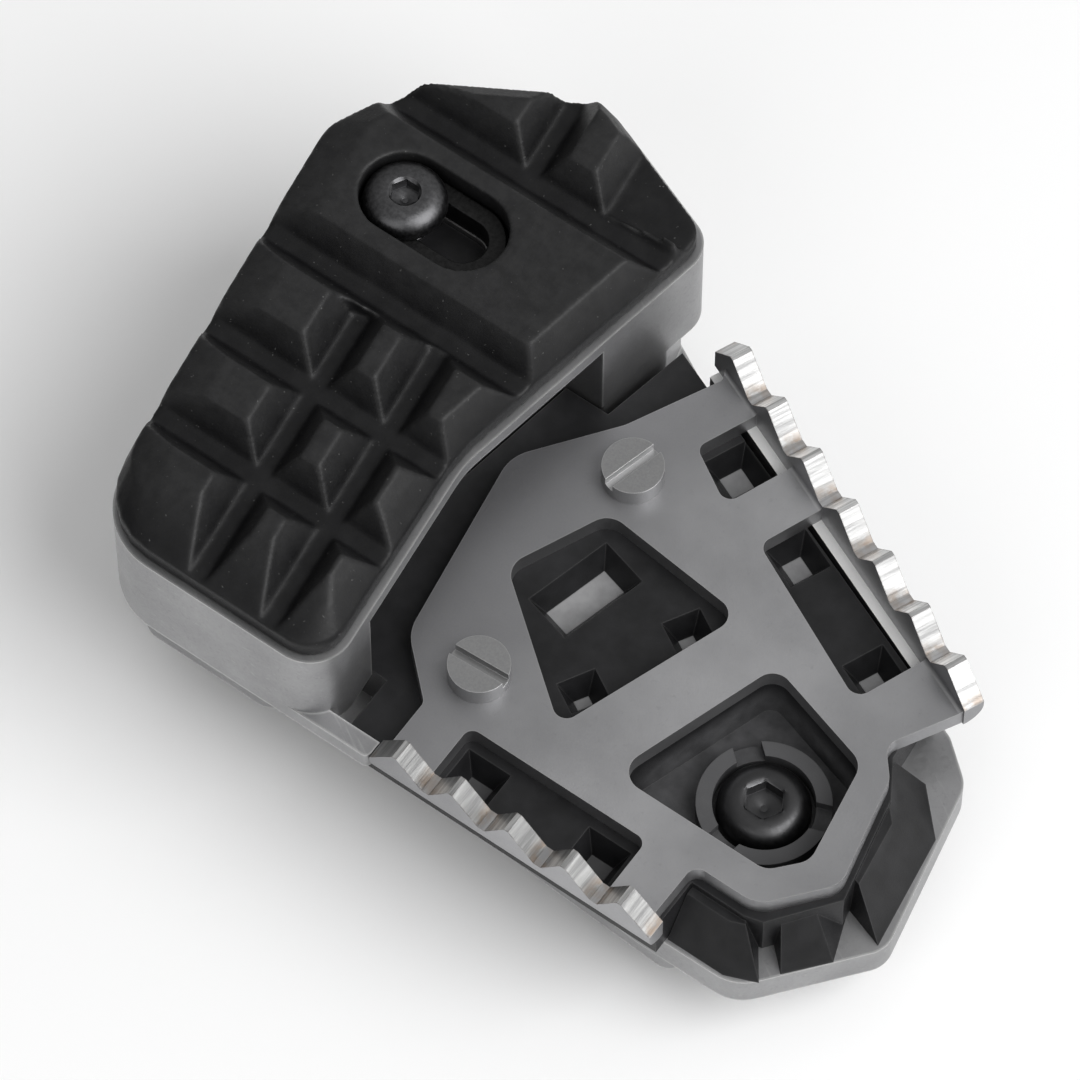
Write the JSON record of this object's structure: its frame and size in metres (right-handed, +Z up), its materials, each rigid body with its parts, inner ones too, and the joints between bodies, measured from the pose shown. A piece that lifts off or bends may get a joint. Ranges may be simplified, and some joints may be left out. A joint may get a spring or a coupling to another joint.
{
  "type": "brake pedal extension",
  "caption": "Enlarged motorbike brake pedal head with a raised rubber pad, a toothed steel tread plate and a lever seat underneath.",
  "frame": {"origin": "middle of the lever seat, the flat face under the raised block between the two tapped holes", "axes": "+X from the lever side towards the tip of the tread, +Y towards the front edge of the raised block, +Z up through both treads"},
  "size_m": [0.1008, 0.0747, 0.04],
  "materials": {
    "cast_aluminium": "satin blasted",
    "pad_rubber": "matte",
    "black_steel": "black coated",
    "dark_screw_steel": "dark oxide",
    "plated_steel": "zinc plated",
    "black_moulding": "fine grained",
    "stainless_sheet": "bead blasted",
    "bright_screw_steel": "turned"
  },
  "bodies": {
    "pedal": {"pedal_body": "cast_aluminium", "pad_screw": "dark_screw_steel", "pad_nut_washer": "plated_steel", "pad_nut": "plated_steel", "tread_base": "black_moulding", "tread_plate": "stainless_sheet", "tread_plate_screws": "bright_screw_steel", "tread_plate_washers": "plated_steel", "tread_plate_nuts": "plated_steel", "base_screw": "dark_screw_steel", "base_collar": "black_moulding", "base_nut_washer": "plated_steel", "base_nut": "plated_steel"},
    "pad": {"upper_pad": "pad_rubber", "pad_backing_plate": "black_steel"}
  },
  "joints": [
    {"name": "pad_slide", "type": "slide", "parent": "pedal", "child": "pad", "axis": [-1, 0, 0], "range_m": [0, 0.0078]}
  ]
}
